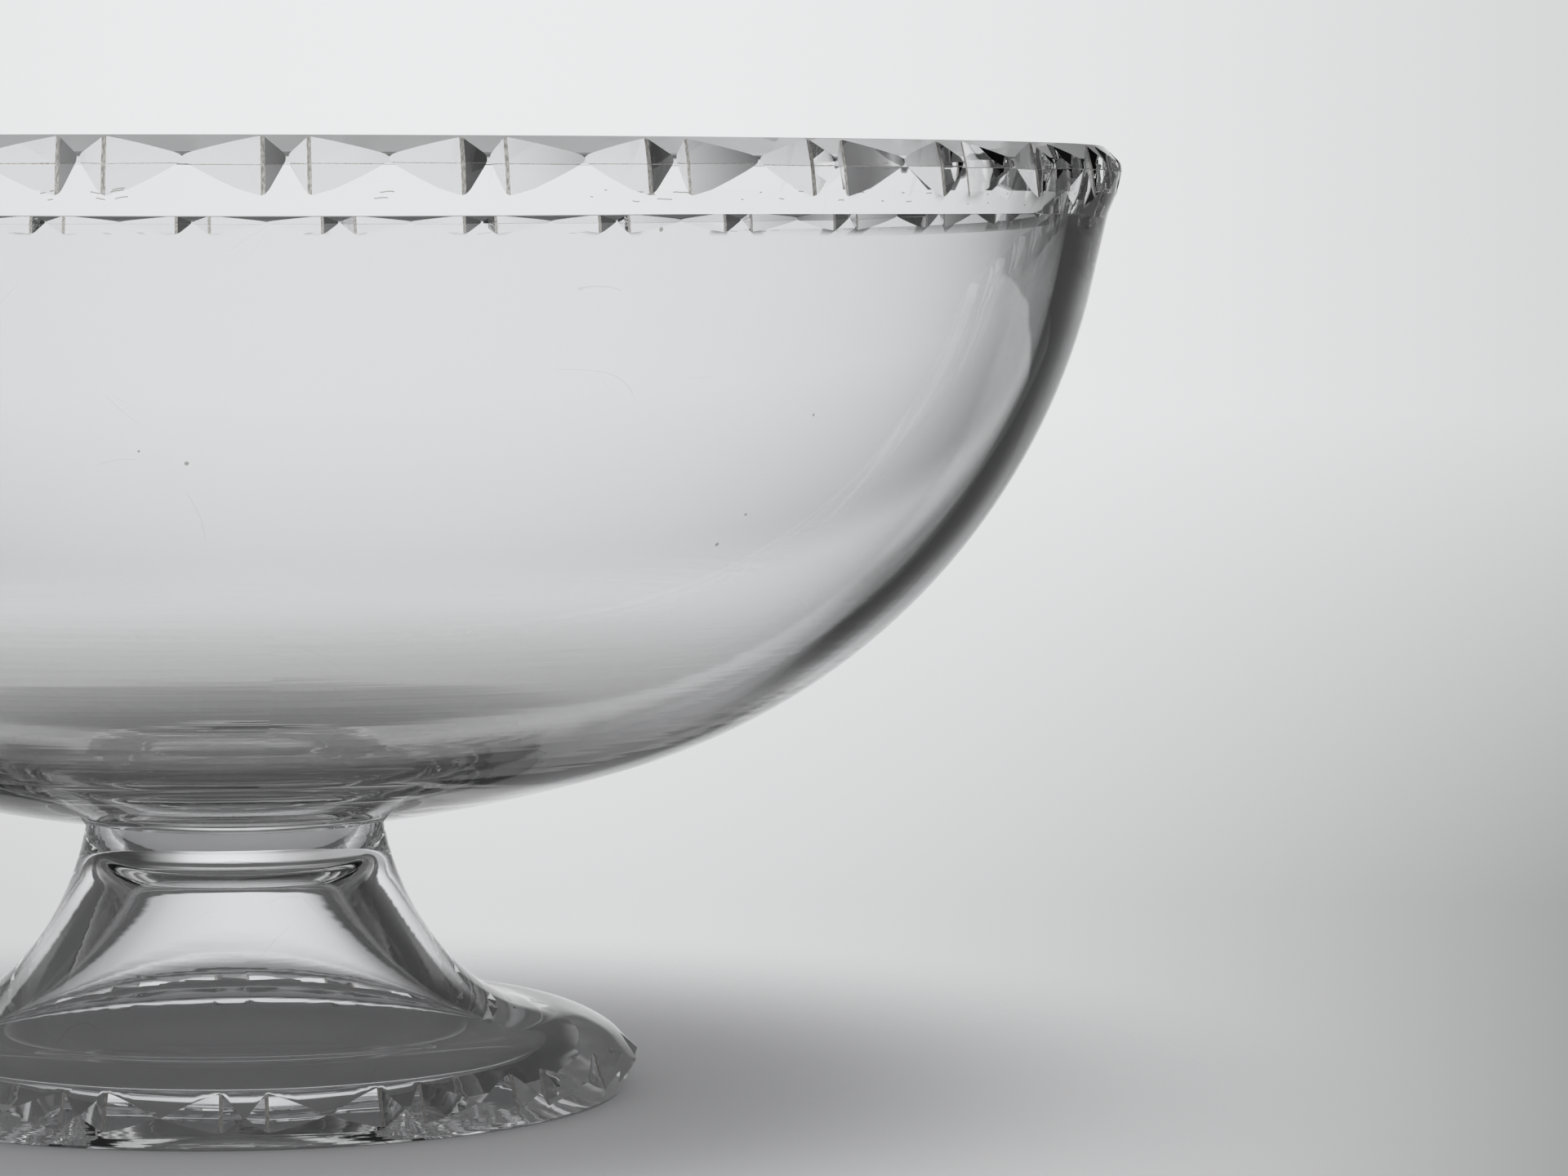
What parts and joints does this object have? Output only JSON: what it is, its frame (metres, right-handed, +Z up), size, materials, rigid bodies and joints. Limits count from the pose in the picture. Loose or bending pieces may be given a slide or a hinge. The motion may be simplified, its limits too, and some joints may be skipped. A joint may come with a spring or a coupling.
{
  "type": "footed glass bowl",
  "caption": "Colourless cut-glass bowl on a bonded bell foot, with mirrored mitre cuts round the rim and the foot's edge, for serving or display.",
  "frame": {"origin": "centre of the flat ring under the foot, on the surface that the bowl stands on", "axes": "+Z up along the bowl's axis; +X and +Y across it, with a pair of rim cuts centred on +Y"},
  "size_m": [0.2398, 0.2398, 0.1276],
  "materials": {
    "foot_glass": "polished clear glass with ground cut edges",
    "bond_film": "thin clear cured adhesive",
    "bowl_glass": "polished clear glass with ground cut edges"
  },
  "bodies": {
    "root": {"glass_foot": "foot_glass", "bond_layer": "bond_film", "glass_bowl": "bowl_glass"}
  },
  "joints": []
}
